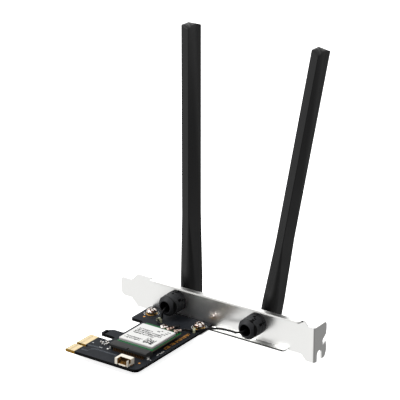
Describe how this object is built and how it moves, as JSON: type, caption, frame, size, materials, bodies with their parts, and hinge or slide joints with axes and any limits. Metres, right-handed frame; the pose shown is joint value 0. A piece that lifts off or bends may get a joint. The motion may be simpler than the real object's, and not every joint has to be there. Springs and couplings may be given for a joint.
{
  "type": "pcie wifi card",
  "caption": "Full-height expansion card with a wireless module on a slotted board, a steel bracket and two folding antennas on swivel sockets.",
  "frame": {"origin": "on the bracket flange's seat face, on the centreline of its screw slot, level with the middle of the bracket's strip", "axes": "+X out of the case past the flange's seat (the strip runs along -X to its tongue), +Y out of the slot past the bracket, away from the board, +Z square to the board's parts side"},
  "size_m": [0.1201, 0.0854, 0.159],
  "materials": {
    "nickel_steel": "satin nickel plate",
    "screw_zinc": "bright plated steel",
    "solder_metal": "tinned metal",
    "gold_contacts": "gold plate",
    "board_black": "black solder mask",
    "board_green": "green solder mask",
    "shield_tin": "tin-plated can",
    "label_white": "white film label",
    "chip_black": "moulded chip body",
    "socket_black": "moulded contact housing",
    "header_ivory": "ivory nylon",
    "resistor_body": "resistor body",
    "ceramic_tan": "ceramic capacitor body",
    "plug_gold": "pale gold plate",
    "lead_black": "black lead jacket",
    "antenna_black": "satin black moulding",
    "radiator_copper": "copper on board"
  },
  "bodies": {
    "card": {"bracket": "nickel_steel", "circuit_board": "board_black", "edge_contacts": "gold_contacts", "bracket_screws": "screw_zinc", "screw_pads": "gold_contacts", "module_board": "board_green", "module_contacts": "gold_contacts", "module_shield": "shield_tin", "module_label": "label_white", "radio_chip": "chip_black", "module_standoff": "screw_zinc", "module_screw": "screw_zinc", "module_socket": "socket_black", "module_socket_pins": "gold_contacts", "module_socket_tabs": "solder_metal", "header_housing": "header_ivory", "header_pins": "solder_metal", "resistors": "resistor_body", "capacitors": "ceramic_tan", "antenna_receptacles": "plug_gold", "left_lead_plug": "plug_gold", "right_lead_plug": "plug_gold", "left_lead": "lead_black", "right_lead": "lead_black", "left_lead_clip": "solder_metal", "right_lead_clip": "solder_metal", "left_socket": "antenna_black", "right_socket": "antenna_black"},
    "left_stem": {"left_knuckle": "antenna_black", "left_lock_ring": "antenna_black"},
    "left_antenna": {"left_blade": "antenna_black", "left_blade_cover": "antenna_black", "left_radiator": "radiator_copper", "left_hinge_pin": "antenna_black"},
    "right_stem": {"right_knuckle": "antenna_black", "right_lock_ring": "antenna_black"},
    "right_antenna": {"right_blade": "antenna_black", "right_blade_cover": "antenna_black", "right_radiator": "radiator_copper", "right_hinge_pin": "antenna_black"}
  },
  "joints": [
    {"name": "left_swivel", "type": "hinge", "parent": "card", "child": "left_stem", "pos_m": [-0.08264, 0.00825, 0.00079], "axis": [0, -1, 0], "range_deg": [-8, 90]},
    {"name": "left_fold", "type": "hinge", "parent": "left_stem", "child": "left_antenna", "pos_m": [-0.08264, 0.00825, 0.00079], "axis": [-1, 0, 0], "range_deg": [0, 90]},
    {"name": "right_swivel", "type": "hinge", "parent": "card", "child": "right_stem", "pos_m": [-0.03324, 0.00825, 0.00079], "axis": [0, 1, 0], "range_deg": [-18.2, 60]},
    {"name": "right_fold", "type": "hinge", "parent": "right_stem", "child": "right_antenna", "pos_m": [-0.03324, 0.00825, 0.00079], "axis": [-0.9842, 0, 0.1771], "range_deg": [0, 90]}
  ]
}
